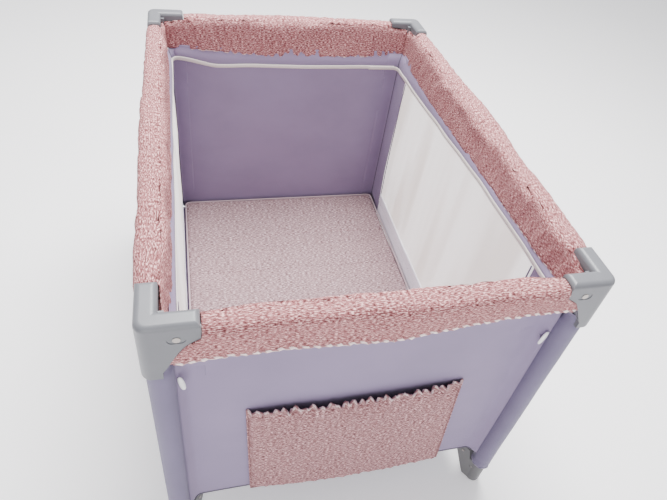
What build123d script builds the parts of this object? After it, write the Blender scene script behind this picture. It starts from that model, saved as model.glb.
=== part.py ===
"""Folding playpen: four posts, eight folding half rails, a rising hub with four cross bars, and fabric walls.

X is the width, Y the length and Z up, from the middle of the footprint on the floor.
"""

from build123d import *
from math import hypot
import os

# Overall size
WIDTH = 760
LENGTH = 1050
HEIGHT = 760

# Legs, and how far their axes stand inside the outer faces
POST_INSET = 25
LEG_RADIUS = 12.5
LEG_WALL = 1.5
LEG_BOTTOM = 10
LEG_TOP = 712

# Corner brackets
ARM_LENGTH = 88
ARM_WIDTH = 32
ARM_END_LOW = 728
BRACKET_TIP = 642
TIP_WIDTH = 20
SHOULDER = (63.5, 711)
WAIST = (42, 674)
OVAL_LENGTH = 26
OVAL_WIDTH = 15
OVAL_DEPTH = 1
BLOCK = 40
BLOCK_LOW = 668
BLOCK_TOP = 748
CORNER_RADIUS = 18
TOP_RADIUS = 9
EDGE_RADIUS = 3
BRACKET_ROOF = 8

# Top rails
RAIL_RADIUS = 9
RAIL_WALL = 1.5
RAIL_HEIGHT = 730
LATCH_PIVOT = 25

# Latch housings and their buttons
LATCH_HALF_LENGTH = 42
LATCH_CHEEK = 2.5
LATCH_FLOOR = 4
LATCH_CHEEK_TOP = 8
LATCH_WEB = 11
BUTTON_RADIUS = 7
BUTTON_TRAVEL = 4
BUTTON_STEM = 3.5

# Lower cross bars, hub and feet
BAR_RADIUS = 10
BAR_WALL = 1.5
BAR_HEIGHT = 88
FOOT_PIVOT = 45
HUB_PIVOT = 50
HUB_RADIUS = 34
HUB_FOOT_RADIUS = 20
HUB_LOW = 70
HUB_TOP = 107
LUG_CHEEK = 5
EYE_REACH = 14
SLOT_SIZE = 56
FOOT_SOCKET_RADIUS = 17
FOOT_SOCKET_TOP = 75
FIN_BELLY = (37, 28)
FIN_TOP = 105

# Pins and running gaps
PIN_RADIUS = 3
PIN_GAP = 0.1
HEAD_RADIUS = 5.5
HEAD_DEPTH = 1.5
LEG_RIVET_HEIGHT = 657
FOOT_RIVET_HEIGHT = 50
GAP = 0.5

# Fabric shell
WALL_INSET_X = 50
WALL_INSET_Y = 50
WALL_THICK = 2.5
WALL_END = 10
WALL_LOW = 112
WALL_TOP = 663
SLEEVE_RADIUS = 18
SLEEVE_THICK = 3
SLEEVE_LOW = 80
SLEEVE_TOP = 620
MESH_BORDER = 40
MESH_LOW = 175
MESH_TOP = 620

# Rail covers
COVER_WIDTH = 44
COVER_THICK = 3.5
COVER_TOP = 753
COVER_OUTER_LOW = 670
COVER_INNER_LOW = 665
COVER_GAP = 1.5

# Floor cloth, mattress, pocket and toggles
FLOOR_LOW = 108
FLOOR_THICK = 2
MATTRESS_TO_POST = 35
MATTRESS_LOW = 112
MATTRESS_THICK = 30
PANELS = 4
PANEL_GAP = 0.6
POCKET_WIDTH = 430
POCKET_LOW = 114
POCKET_TOP = 418
POCKET_DEPTH = 22
POCKET_THICK = 2.5
TOGGLE_TO_POST = 33
TOGGLE_HEIGHT = 572
TOGGLE_LENGTH = 36
TOGGLE_WIDTH = 10
TOGGLE_THICK = 6

HALF_X = WIDTH / 2
HALF_Y = LENGTH / 2
POST_X = HALF_X - POST_INSET
POST_Y = HALF_Y - POST_INSET
DIAGONAL = hypot(POST_X, POST_Y)
# A rail turns by the same angle as the bars when its hinge stands off the post by this much.
HINGE_X = POST_X / DIAGONAL * (FOOT_PIVOT + HUB_PIVOT) - LATCH_PIVOT
HINGE_Y = POST_Y / DIAGONAL * (FOOT_PIVOT + HUB_PIVOT) - LATCH_PIVOT
RAIL_INSET = ARM_WIDTH / 2
RAIL_X = HALF_X - RAIL_INSET
RAIL_Y = HALF_Y - RAIL_INSET
WALL_X = HALF_X - WALL_INSET_X
WALL_Y = HALF_Y - WALL_INSET_Y
MATTRESS_WIDTH = 2 * (POST_X - MATTRESS_TO_POST)
MATTRESS_LENGTH = 2 * (POST_Y - MATTRESS_TO_POST)
TOGGLE_X = POST_X - TOGGLE_TO_POST

CORNERS = {
    "front_left": (-1, -1),
    "front_right": (1, -1),
    "back_right": (1, 1),
    "back_left": (-1, 1),
}
SIDES = {"front": (0, -1), "right": (1, 0), "back": (0, 1), "left": (-1, 0)}

os.makedirs("parts", exist_ok=True)


def save(part, name):
    """Label a finished piece and write it."""
    part.part.label = name
    export_step(part.part, f"parts/{name}.step")


def arm_plane(sign_x, sign_y, along_x):
    """The outer face of one bracket arm, drawn from the corner towards the middle, and its inward turn."""
    origin = (sign_x * HALF_X, sign_y * HALF_Y, 0)
    if along_x:
        plane = Plane(origin=origin, x_dir=(-sign_x, 0, 0), z_dir=(0, sign_x, 0))
        return plane, -sign_x * sign_y
    plane = Plane(origin=origin, x_dir=(0, -sign_y, 0), z_dir=(-sign_y, 0, 0))
    return plane, sign_x * sign_y


def diagonal_plane(sign_x, sign_y):
    """The upright plane through a post and the middle, drawn from the post inwards."""
    inward = Vector(-sign_x * POST_X, -sign_y * POST_Y, 0) / DIAGONAL
    origin = (sign_x * POST_X, sign_y * POST_Y, 0)
    return Plane(origin=origin, x_dir=inward, z_dir=inward.cross(Vector(0, 0, 1)))


def hinge_point(sign_x, sign_y, along_x):
    """Where a rail turns in its bracket."""
    if along_x:
        return Vector(sign_x * (POST_X - HINGE_X), sign_y * RAIL_Y, RAIL_HEIGHT)
    return Vector(sign_x * RAIL_X, sign_y * (POST_Y - HINGE_Y), RAIL_HEIGHT)


def latch_point(sign_x, sign_y, along_x):
    """Where a rail turns in its latch."""
    if along_x:
        return Vector(sign_x * LATCH_PIVOT, sign_y * RAIL_Y, RAIL_HEIGHT)
    return Vector(sign_x * RAIL_X, sign_y * LATCH_PIVOT, RAIL_HEIGHT)


def pin_plane(point, axis):
    """A plane through a pin's middle, square to the pin."""
    return Plane(origin=point, z_dir=axis)


def hinged_tube(start, end, radius, wall, pin_axis):
    """A tube with a solid eye at each end, bored for its pins."""
    run = end - start
    with BuildPart() as tube:
        with BuildSketch(Plane(origin=start, z_dir=run)):
            Circle(radius)
            Circle(radius - wall, mode=Mode.SUBTRACT)
        extrude(amount=run.length)
        eye = radius - wall / 2
        for point in (start, end):
            with BuildSketch(pin_plane(point, pin_axis)):
                Circle(eye)
            extrude(amount=eye, both=True)
        for point in (start, end):
            with BuildSketch(pin_plane(point, pin_axis)):
                Circle(PIN_RADIUS + PIN_GAP)
            extrude(amount=2 * radius, both=True, mode=Mode.SUBTRACT)
    return tube


def leg(sign_x, sign_y):
    """One upright leg tube, bored for its two rivets."""
    with BuildPart() as tube:
        with BuildSketch(Plane.XY.offset(LEG_BOTTOM)):
            with Locations((sign_x * POST_X, sign_y * POST_Y)):
                Circle(LEG_RADIUS)
                Circle(LEG_RADIUS - LEG_WALL, mode=Mode.SUBTRACT)
        extrude(amount=LEG_TOP - LEG_BOTTOM)
        for height in (LEG_RIVET_HEIGHT, FOOT_RIVET_HEIGHT):
            with BuildSketch(pin_plane((sign_x * POST_X, sign_y * POST_Y, height), (1, 0, 0))):
                Circle(PIN_RADIUS)
            extrude(amount=2 * LEG_RADIUS, both=True, mode=Mode.SUBTRACT)
    return tube


def head_plane(point, outward):
    """The bottom of the recess that holds a pin's head, in the bracket's outer face."""
    return Plane(origin=point + outward * (pin_reach(point, outward) - HEAD_DEPTH), z_dir=outward)


def bracket(sign_x, sign_y):
    """One corner bracket: two slanted arms on a corner block, open below for the rails."""
    with BuildPart() as body:
        for along_x in (True, False):
            plane, inward = arm_plane(sign_x, sign_y, along_x)
            with BuildSketch(plane):
                with BuildLine():
                    top = Polyline(
                        (TIP_WIDTH, BRACKET_TIP),
                        (0, BRACKET_TIP),
                        (0, HEIGHT),
                        (ARM_LENGTH, HEIGHT),
                        (ARM_LENGTH, ARM_END_LOW),
                    )
                    Spline(top @ 1, SHOULDER, WAIST, top @ 0)
                make_face()
            extrude(amount=inward * ARM_WIDTH)
        middle = (BLOCK_LOW + BLOCK_TOP) / 2
        with Locations((sign_x * (HALF_X - BLOCK / 2), sign_y * (HALF_Y - BLOCK / 2), middle)):
            Box(BLOCK, BLOCK, BLOCK_TOP - BLOCK_LOW)
        corner = Vector(sign_x * HALF_X, sign_y * HALF_Y, (HEIGHT + BRACKET_TIP) / 2)
        upright = body.edges().filter_by(Axis.Z).sort_by_distance(corner)[0]
        fillet(upright, CORNER_RADIUS)
        fillet(body.faces().sort_by(Axis.Z)[-1].edges(), TOP_RADIUS)
        for along_x in (True, False):
            plane, inward = arm_plane(sign_x, sign_y, along_x)
            hinge = POST_INSET + (HINGE_X if along_x else HINGE_Y)
            slot = 2 * (RAIL_RADIUS + GAP)
            with BuildSketch(plane.offset(inward * (RAIL_INSET - slot / 2))):
                start = hinge - RAIL_RADIUS - GAP
                run = ARM_LENGTH - start + 1
                with Locations((start + run / 2, (HEIGHT - BRACKET_ROOF + BRACKET_TIP) / 2 - 1)):
                    Rectangle(run, HEIGHT - BRACKET_ROOF - BRACKET_TIP + 2)
            extrude(amount=inward * slot, mode=Mode.SUBTRACT)
        with BuildSketch(Plane.XY.offset(BRACKET_TIP - 1)):
            with Locations((sign_x * POST_X, sign_y * POST_Y)):
                Circle(LEG_RADIUS)
        extrude(amount=LEG_TOP - BRACKET_TIP + 1, mode=Mode.SUBTRACT)
        for point, axis in corner_pin_places(sign_x, sign_y):
            with BuildSketch(pin_plane(point, axis)):
                Circle(PIN_RADIUS)
            extrude(amount=ARM_WIDTH, both=True, mode=Mode.SUBTRACT)
            with BuildSketch(head_plane(point, axis)):
                Circle(HEAD_RADIUS)
            extrude(amount=HEAD_DEPTH, mode=Mode.SUBTRACT)
        for point, axis in corner_pin_places(sign_x, sign_y)[:2]:
            face_point = point + axis * pin_reach(point, axis)
            with BuildSketch(Plane(origin=face_point, x_dir=axis.cross(Vector(0, 0, 1)), z_dir=axis)):
                SlotOverall(OVAL_LENGTH, OVAL_WIDTH)
            extrude(amount=-OVAL_DEPTH, mode=Mode.SUBTRACT)
    return body


def corner_pin_places(sign_x, sign_y):
    """The bracket's three pins: the two rail hinges and the leg rivet, each with its outward axis."""
    post = Vector(sign_x * POST_X, sign_y * POST_Y, LEG_RIVET_HEIGHT)
    return (
        (hinge_point(sign_x, sign_y, True), Vector(0, sign_y, 0)),
        (hinge_point(sign_x, sign_y, False), Vector(sign_x, 0, 0)),
        (post, Vector(sign_x, 0, 0)),
    )


def pin_reach(point, axis):
    """How far a pin's middle lies inside the bracket's outer face."""
    return HALF_X - abs(point.X) if axis.X else HALF_Y - abs(point.Y)


def foot(sign_x, sign_y):
    """One foot: a socket for the leg and a slotted fin that holds the cross bar."""
    plane = diagonal_plane(sign_x, sign_y)
    half = BAR_RADIUS + GAP + LUG_CHEEK
    with BuildPart() as body:
        with BuildSketch(Plane.XY):
            with Locations((sign_x * POST_X, sign_y * POST_Y)):
                Circle(FOOT_SOCKET_RADIUS)
        extrude(amount=FOOT_SOCKET_TOP)
        with BuildSketch(plane):
            with BuildLine():
                base = Polyline((0, FOOT_SOCKET_TOP), (0, 0), (FOOT_SOCKET_RADIUS + 6, 0))
                reach = FOOT_PIVOT + EYE_REACH
                tip = Polyline(
                    (reach, BAR_HEIGHT - EYE_REACH),
                    (reach, FIN_TOP - 6),
                    (reach - 6, FIN_TOP),
                    (FOOT_PIVOT - EYE_REACH, FIN_TOP),
                    (SLEEVE_RADIUS + 4, FOOT_SOCKET_TOP),
                )
                Line(tip @ 1, base @ 0)
                ThreePointArc(base @ 1, FIN_BELLY, tip @ 0)
            make_face()
        extrude(amount=half, both=True)
        fillet(body.edges().group_by(Axis.Z)[0], EDGE_RADIUS / 2)
        with BuildSketch(plane):
            low = BAR_HEIGHT - BAR_RADIUS - GAP
            start = FOOT_PIVOT - BAR_RADIUS - GAP
            with Locations((start + SLOT_SIZE / 2, low + SLOT_SIZE / 2)):
                Rectangle(SLOT_SIZE, SLOT_SIZE)
        extrude(amount=BAR_RADIUS + GAP, both=True, mode=Mode.SUBTRACT)
        with BuildSketch(Plane.XY.offset(LEG_BOTTOM)):
            with Locations((sign_x * POST_X, sign_y * POST_Y)):
                Circle(LEG_RADIUS)
        extrude(amount=FIN_TOP, mode=Mode.SUBTRACT)
        with BuildSketch(Plane(origin=plane.from_local_coords((FOOT_PIVOT, BAR_HEIGHT, 0)), z_dir=plane.z_dir)):
            Circle(PIN_RADIUS)
        extrude(amount=2 * half, both=True, mode=Mode.SUBTRACT)
        rivet = Vector(sign_x * POST_X, sign_y * POST_Y, FOOT_RIVET_HEIGHT)
        with BuildSketch(pin_plane(rivet, (1, 0, 0))):
            Circle(PIN_RADIUS)
        extrude(amount=2 * FOOT_SOCKET_RADIUS, both=True, mode=Mode.SUBTRACT)
    return body


def corner_pins(sign_x, sign_y):
    """The five pins of one corner, as separate solids."""
    plane = diagonal_plane(sign_x, sign_y)
    half = BAR_RADIUS + GAP + LUG_CHEEK
    with BuildPart() as pins:
        for point, axis in corner_pin_places(sign_x, sign_y):
            reach = pin_reach(point, axis)
            inner = LEG_RADIUS if point.Z == LEG_RIVET_HEIGHT else ARM_WIDTH - reach
            with BuildSketch(Plane(origin=point - axis * inner, z_dir=axis)):
                Circle(PIN_RADIUS)
            extrude(amount=inner + reach - HEAD_DEPTH)
            with BuildSketch(Plane(origin=point - axis * inner, z_dir=-axis)):
                Circle(HEAD_RADIUS)
            extrude(amount=HEAD_DEPTH)
            with BuildSketch(head_plane(point, axis)):
                Circle(HEAD_RADIUS)
            extrude(amount=HEAD_DEPTH)
        with BuildSketch(Plane(origin=plane.from_local_coords((FOOT_PIVOT, BAR_HEIGHT, 0)), z_dir=plane.z_dir)):
            Circle(PIN_RADIUS)
        extrude(amount=half + HEAD_DEPTH, both=True)
        rivet = Vector(sign_x * POST_X, sign_y * POST_Y, FOOT_RIVET_HEIGHT)
        with BuildSketch(pin_plane(rivet, (1, 0, 0))):
            Circle(PIN_RADIUS)
        extrude(amount=FOOT_SOCKET_RADIUS + HEAD_DEPTH, both=True)
    return pins


def hub():
    """The centre hub: a boss on its own foot, with four slotted lugs for the bars."""
    half = BAR_RADIUS + GAP + LUG_CHEEK
    reach = HUB_PIVOT + EYE_REACH
    with BuildPart() as body:
        with BuildSketch(Plane.XY.offset(HUB_LOW)):
            Circle(HUB_RADIUS)
        extrude(amount=HUB_TOP - HUB_LOW)
        with BuildSketch(Plane.XY):
            Circle(HUB_FOOT_RADIUS)
        extrude(amount=HUB_LOW)
        fillet(body.edges().group_by(Axis.Z)[0], EDGE_RADIUS)
        for sign_x, sign_y in CORNERS.values():
            plane = diagonal_plane(sign_x, sign_y)
            with BuildSketch(plane):
                with Locations((DIAGONAL - reach / 2, (HUB_LOW + HUB_TOP) / 2)):
                    Rectangle(reach, HUB_TOP - HUB_LOW)
            extrude(amount=half, both=True)
        for sign_x, sign_y in CORNERS.values():
            plane = diagonal_plane(sign_x, sign_y)
            start = HUB_PIVOT - BAR_RADIUS - GAP
            roof = BAR_HEIGHT + BAR_RADIUS + GAP
            with BuildSketch(plane):
                with Locations((DIAGONAL - start - SLOT_SIZE / 2, (roof + HUB_LOW) / 2 - 1)):
                    Rectangle(SLOT_SIZE, roof - HUB_LOW + 2)
            extrude(amount=BAR_RADIUS + GAP, both=True, mode=Mode.SUBTRACT)
            pivot = plane.from_local_coords((DIAGONAL - HUB_PIVOT, BAR_HEIGHT, 0))
            with BuildSketch(Plane(origin=pivot, z_dir=plane.z_dir)):
                Circle(PIN_RADIUS)
            extrude(amount=2 * half, both=True, mode=Mode.SUBTRACT)
    return body


def hub_pins():
    """The hub's four bar pins."""
    half = BAR_RADIUS + GAP + LUG_CHEEK
    with BuildPart() as pins:
        for sign_x, sign_y in CORNERS.values():
            plane = diagonal_plane(sign_x, sign_y)
            pivot = plane.from_local_coords((DIAGONAL - HUB_PIVOT, BAR_HEIGHT, 0))
            with BuildSketch(Plane(origin=pivot, z_dir=plane.z_dir)):
                Circle(PIN_RADIUS)
            extrude(amount=half, both=True)
    return pins


def side_frame(sign_x, sign_y):
    """The plane of one side's latch: x runs along the rail, y is up, and z is square to the wall."""
    middle = Vector(sign_x * RAIL_X, sign_y * RAIL_Y, RAIL_HEIGHT)
    along = Vector(1, 0, 0) if sign_y else Vector(0, 1, 0)
    return Plane(origin=middle, x_dir=along, z_dir=along.cross(Vector(0, 0, 1)))


def latch_housing(sign_x, sign_y):
    """A channel under the two rail ends, with moulded pins that the rails turn on."""
    plane = side_frame(sign_x, sign_y)
    half = RAIL_RADIUS + GAP + LATCH_CHEEK
    low = -RAIL_RADIUS - GAP - LATCH_FLOOR
    with BuildPart() as body:
        with BuildSketch(plane):
            with BuildLine():
                Polyline(
                    (-LATCH_HALF_LENGTH, low),
                    (LATCH_HALF_LENGTH, low),
                    (LATCH_HALF_LENGTH, 0),
                    (LATCH_HALF_LENGTH - LATCH_CHEEK_TOP, LATCH_CHEEK_TOP),
                    (-LATCH_HALF_LENGTH + LATCH_CHEEK_TOP, LATCH_CHEEK_TOP),
                    (-LATCH_HALF_LENGTH, 0),
                    close=True,
                )
            make_face()
        extrude(amount=half, both=True)
        for end in (-1, 1):
            run = LATCH_HALF_LENGTH - LATCH_WEB + 1
            with BuildSketch(plane):
                with Locations((end * (LATCH_WEB + run / 2), LATCH_HALF_LENGTH - RAIL_RADIUS - GAP)):
                    Rectangle(run, 2 * LATCH_HALF_LENGTH)
            extrude(amount=RAIL_RADIUS + GAP, both=True, mode=Mode.SUBTRACT)
            with BuildSketch(plane):
                with Locations((end * LATCH_PIVOT, 0)):
                    Circle(PIN_RADIUS)
            extrude(amount=half, both=True)
        up = Plane(origin=plane.from_local_coords((0, low, 0)), z_dir=(0, 0, 1))
        with BuildSketch(up):
            Circle(BUTTON_STEM + GAP)
        extrude(amount=2 * LATCH_HALF_LENGTH, mode=Mode.SUBTRACT)
        with BuildSketch(up):
            Circle(BUTTON_RADIUS + GAP)
        extrude(amount=BUTTON_TRAVEL + GAP, mode=Mode.SUBTRACT)
    return body


def latch_button(sign_x, sign_y):
    """The release button under one latch, with its stem."""
    plane = side_frame(sign_x, sign_y)
    low = -RAIL_RADIUS - GAP - LATCH_FLOOR
    with BuildPart() as body:
        face = Plane(origin=plane.from_local_coords((0, low - BUTTON_TRAVEL, 0)), z_dir=(0, 0, 1))
        with BuildSketch(face):
            Circle(BUTTON_RADIUS)
        extrude(amount=BUTTON_TRAVEL)
        fillet(body.edges().group_by(Axis.Z)[0], 1)
        with BuildSketch(face):
            Circle(BUTTON_STEM)
        extrude(amount=BUTTON_TRAVEL - low)
    return body


def rail_cover(sign_x, sign_y, along_x):
    """Half of a padded rail cover: a channel, open below, cut back under the bracket's slanted edge."""
    plane, inward = arm_plane(sign_x, sign_y, along_x)
    middle = (HALF_X if along_x else HALF_Y) - GAP
    mitre = COVER_WIDTH + COVER_GAP
    with BuildPart() as body:
        with BuildSketch(plane):
            with BuildLine():
                Polyline(
                    (SHOULDER[0] + 3 * COVER_GAP, SHOULDER[1]),
                    (WAIST[0] + 3 * COVER_GAP, WAIST[1]),
                    (WAIST[0] + 2 * COVER_GAP, COVER_OUTER_LOW),
                    (middle, COVER_OUTER_LOW),
                    (middle, COVER_TOP),
                    (ARM_LENGTH + COVER_GAP, COVER_TOP),
                    (ARM_LENGTH + COVER_GAP, ARM_END_LOW),
                    close=True,
                )
            make_face()
        extrude(amount=inward * COVER_WIDTH)
        with BuildSketch(plane.offset(inward * COVER_THICK)):
            with Locations((middle / 2, COVER_TOP - COVER_THICK - HEIGHT / 2)):
                Rectangle(2 * middle, HEIGHT)
        extrude(amount=inward * (COVER_WIDTH - 2 * COVER_THICK), mode=Mode.SUBTRACT)
        with BuildSketch(plane.offset(inward * COVER_WIDTH / 2)):
            with Locations((mitre / 2, HEIGHT / 2)):
                Rectangle(mitre, HEIGHT)
            with Locations((middle / 2, COVER_INNER_LOW - HEIGHT / 2)):
                Rectangle(2 * middle, HEIGHT)
        extrude(amount=inward * COVER_WIDTH, mode=Mode.SUBTRACT)
    return body


def wall(side, corner, mesh_window):
    """One fabric wall with the leg sleeve at its own post, open where the mesh goes."""
    side_x, side_y = side
    sign_x, sign_y = corner
    length = 2 * WALL_X - WALL_END if side_y else 2 * (WALL_Y - WALL_THICK / 2 - GAP)
    shift = sign_x * WALL_END / 2
    middle = Vector(side_x * WALL_X or shift, side_y * WALL_Y, (WALL_LOW + WALL_TOP) / 2)
    size = (length, WALL_THICK) if side_y else (WALL_THICK, length)
    with BuildPart() as body:
        with BuildSketch(Plane.XY.offset(SLEEVE_LOW)):
            with Locations((sign_x * POST_X, sign_y * POST_Y)):
                Circle(SLEEVE_RADIUS)
        extrude(amount=SLEEVE_TOP - SLEEVE_LOW)
        with Locations(middle):
            Box(*size, WALL_TOP - WALL_LOW)
        wall_end = Vector(WALL_X, WALL_Y if side_y else WALL_Y - WALL_THICK - GAP, 0)
        sleeve_middle = Vector(POST_X, POST_Y, 0)
        run = (wall_end - sleeve_middle).normalized()
        sleeve_end = sleeve_middle + run * (SLEEVE_RADIUS - SLEEVE_THICK / 2)
        across = run.cross(Vector(0, 0, 1)) * WALL_THICK / 2
        web = (sleeve_end + across, wall_end + across, wall_end - across, sleeve_end - across)
        with BuildSketch(Plane.XY.offset(WALL_LOW)):
            with BuildLine():
                Polyline(*[(sign_x * point.X, sign_y * point.Y) for point in web], close=True)
            make_face()
        extrude(amount=SLEEVE_TOP - WALL_LOW)
        with BuildSketch(Plane.XY.offset(SLEEVE_LOW - 1)):
            with Locations((sign_x * POST_X, sign_y * POST_Y)):
                Circle(SLEEVE_RADIUS - SLEEVE_THICK)
        extrude(amount=SLEEVE_TOP, mode=Mode.SUBTRACT)
        if mesh_window:
            with Locations((side_x * WALL_X, 0, (MESH_LOW + MESH_TOP) / 2)):
                Box(2 * WALL_THICK, length - 2 * MESH_BORDER, MESH_TOP - MESH_LOW, mode=Mode.SUBTRACT)
    return body


def mesh_window(side_x):
    """The mesh panel that fills a side wall's opening."""
    length = 2 * (WALL_Y - WALL_THICK / 2 - GAP) - 2 * MESH_BORDER
    with BuildPart() as body:
        with Locations((side_x * WALL_X, 0, (MESH_LOW + MESH_TOP) / 2)):
            Box(WALL_THICK / 2, length, MESH_TOP - MESH_LOW)
    return body


def floor_cloth():
    """The cloth that closes the playpen below the mattress."""
    with BuildPart() as body:
        with BuildSketch(Plane.XY.offset(FLOOR_LOW)):
            RectangleRounded(2 * (WALL_X - WALL_THICK), 2 * (WALL_Y - WALL_THICK), EDGE_RADIUS)
        extrude(amount=FLOOR_THICK)
    return body


def mattress_panel(index):
    """One of the mattress's hinged panels, counted from the front."""
    pitch = MATTRESS_LENGTH / PANELS
    middle = -MATTRESS_LENGTH / 2 + (index + 0.5) * pitch
    with BuildPart() as body:
        with Locations((0, middle, MATTRESS_LOW + MATTRESS_THICK / 2)):
            Box(MATTRESS_WIDTH, pitch - PANEL_GAP, MATTRESS_THICK)
        fillet(body.edges().filter_by(Axis.Y), EDGE_RADIUS)
    return body


def pocket():
    """The outside pocket: a front and three edges, open at the top and closed behind by the wall."""
    back = WALL_Y + WALL_THICK / 2
    with BuildPart() as body:
        with Locations((0, -back - POCKET_DEPTH / 2, (POCKET_LOW + POCKET_TOP) / 2)):
            Box(POCKET_WIDTH, POCKET_DEPTH, POCKET_TOP - POCKET_LOW)
        fillet(body.edges().filter_by(Axis.Z).group_by(Axis.Y)[0], EDGE_RADIUS)
        inner_low = POCKET_LOW + POCKET_THICK
        inner_depth = POCKET_DEPTH - POCKET_THICK
        with Locations((0, -back - inner_depth / 2, inner_low + (POCKET_TOP - POCKET_LOW) / 2)):
            Box(
                POCKET_WIDTH - 2 * POCKET_THICK,
                inner_depth,
                POCKET_TOP - POCKET_LOW,
                mode=Mode.SUBTRACT,
            )
    return body


def toggle(sign_x):
    """An oval toggle sewn to the front wall beside a leg."""
    face = -(WALL_Y + WALL_THICK / 2 + GAP)
    with BuildPart() as body:
        with BuildSketch(Plane(origin=(sign_x * TOGGLE_X, face, TOGGLE_HEIGHT), z_dir=(0, -1, 0))):
            SlotOverall(TOGGLE_LENGTH, TOGGLE_WIDTH)
        extrude(amount=TOGGLE_THICK)
        fillet(body.faces().sort_by(Axis.Y)[0].edges(), TOGGLE_THICK / 3)
    return body


for corner, (sign_x, sign_y) in CORNERS.items():
    save(leg(sign_x, sign_y), f"leg_{corner}")
    save(bracket(sign_x, sign_y), f"corner_bracket_{corner}")
    save(foot(sign_x, sign_y), f"foot_{corner}")
    save(corner_pins(sign_x, sign_y), f"corner_pins_{corner}")
    inwards = diagonal_plane(sign_x, sign_y)
    foot_end = inwards.from_local_coords(Vector(FOOT_PIVOT, BAR_HEIGHT, 0))
    hub_end = inwards.from_local_coords(Vector(DIAGONAL - HUB_PIVOT, BAR_HEIGHT, 0))
    save(hinged_tube(foot_end, hub_end, BAR_RADIUS, BAR_WALL, inwards.z_dir), f"cross_bar_{corner}")
    end_name, side_name = corner.split("_")
    for along_x, name in ((True, f"{end_name}_{side_name}"), (False, f"{side_name}_{end_name}")):
        hinge = hinge_point(sign_x, sign_y, along_x)
        latch = latch_point(sign_x, sign_y, along_x)
        pin_axis = Vector(0, 1, 0) if along_x else Vector(1, 0, 0)
        save(hinged_tube(hinge, latch, RAIL_RADIUS, RAIL_WALL, pin_axis), f"rail_{name}")
        save(rail_cover(sign_x, sign_y, along_x), f"rail_cover_{name}")

for side, (sign_x, sign_y) in SIDES.items():
    save(latch_housing(sign_x, sign_y), f"latch_housing_{side}")
    save(latch_button(sign_x, sign_y), f"latch_button_{side}")

save(hub(), "hub")
save(hub_pins(), "hub_pins")
save(floor_cloth(), "floor_cloth")
for panel in range(PANELS):
    save(mattress_panel(panel), f"mattress_panel_{panel + 1}")

save(wall(SIDES["front"], CORNERS["front_left"], False), "front_wall")
save(wall(SIDES["right"], CORNERS["front_right"], True), "right_wall")
save(wall(SIDES["back"], CORNERS["back_right"], False), "back_wall")
save(wall(SIDES["left"], CORNERS["back_left"], True), "left_wall")
save(mesh_window(1), "mesh_window_right")
save(mesh_window(-1), "mesh_window_left")
save(pocket(), "front_pocket")
save(toggle(-1), "toggle_left")
save(toggle(1), "toggle_right")
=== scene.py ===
"""The looks of a folding playpen: covers, walls, mesh, pocket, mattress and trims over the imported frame."""

import math

import bmesh
import bpy
import numpy as np
from mathutils import Euler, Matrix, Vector


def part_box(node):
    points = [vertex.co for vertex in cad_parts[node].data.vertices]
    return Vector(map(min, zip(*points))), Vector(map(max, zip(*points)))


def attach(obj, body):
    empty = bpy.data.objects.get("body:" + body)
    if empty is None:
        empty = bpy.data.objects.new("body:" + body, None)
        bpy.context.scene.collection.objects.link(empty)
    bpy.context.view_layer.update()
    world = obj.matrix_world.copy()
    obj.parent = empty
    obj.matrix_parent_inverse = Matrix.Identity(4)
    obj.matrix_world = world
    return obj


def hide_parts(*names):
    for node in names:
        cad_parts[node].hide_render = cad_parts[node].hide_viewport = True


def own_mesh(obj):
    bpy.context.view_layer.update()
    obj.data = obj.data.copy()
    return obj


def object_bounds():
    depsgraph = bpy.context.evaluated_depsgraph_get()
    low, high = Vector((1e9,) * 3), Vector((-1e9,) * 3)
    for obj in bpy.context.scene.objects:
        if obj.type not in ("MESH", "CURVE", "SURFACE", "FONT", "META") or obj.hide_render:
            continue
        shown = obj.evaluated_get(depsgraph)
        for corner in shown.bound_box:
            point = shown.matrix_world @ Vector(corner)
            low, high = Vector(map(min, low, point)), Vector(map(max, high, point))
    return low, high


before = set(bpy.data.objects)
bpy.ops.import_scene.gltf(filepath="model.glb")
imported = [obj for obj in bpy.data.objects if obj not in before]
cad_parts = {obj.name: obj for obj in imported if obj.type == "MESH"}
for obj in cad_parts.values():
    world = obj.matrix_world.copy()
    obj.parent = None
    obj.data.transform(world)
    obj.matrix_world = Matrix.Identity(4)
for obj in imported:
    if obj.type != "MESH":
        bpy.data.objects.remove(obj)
cad_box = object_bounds()

# ---------------------------------------------------------------- places, from the frame
HALF_X = float(cad_box[1][0])
HALF_Y = float(cad_box[1][1])


def middle(node):
    """The middle of a CAD node's box."""
    low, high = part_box(node)
    return (np.array(low) + np.array(high)) / 2


POST_X, POST_Y = (float(v) for v in middle("leg_back_right")[:2])
WALL_X = float(middle("mesh_window_right")[0])
WALL_Y = WALL_X + POST_Y - POST_X
WALL_LOW = float(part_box("floor_cloth")[1][2]) + 0.002
RAIL_Z = float(middle("rail_front_left")[2])
COVER_TOP = float(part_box("rail_cover_front_left")[1][2])
POCKET_LOW, POCKET_HIGH = (np.array(v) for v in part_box("front_pocket"))

# ---------------------------------------------------------------- sizes of the soft parts, in metres
COVER_WIDTH = 0.046
COVER_OUTER_LOW = 0.671
COVER_INNER_LOW = 0.660
COVER_THICK = 0.0032
ARM_LENGTH = 0.088
ARM_WIDTH = 0.032
ARM_END_LOW = 0.728
BRACKET_TIP = 0.642
SLEEVE_RADIUS = 0.0208
SLEEVE_LOW = 0.078
SLEEVE_TOP = 0.664
TAPE_Z = 0.626
TAPE_HALF = 0.0052
WALL_TOP = 0.674
CLOTH = 0.0014

CORNERS = {"front_left": (-1, -1), "front_right": (1, -1), "back_right": (1, 1), "back_left": (-1, 1)}


# ---------------------------------------------------------------- seeded smooth noise
def ramp(x):
    """A smooth step between whole numbers."""
    return x * x * (3 - 2 * x)


def ease(x):
    """A smooth step from 0 to 1, held outside that range."""
    return ramp(np.clip(x, 0, 1))


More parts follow.
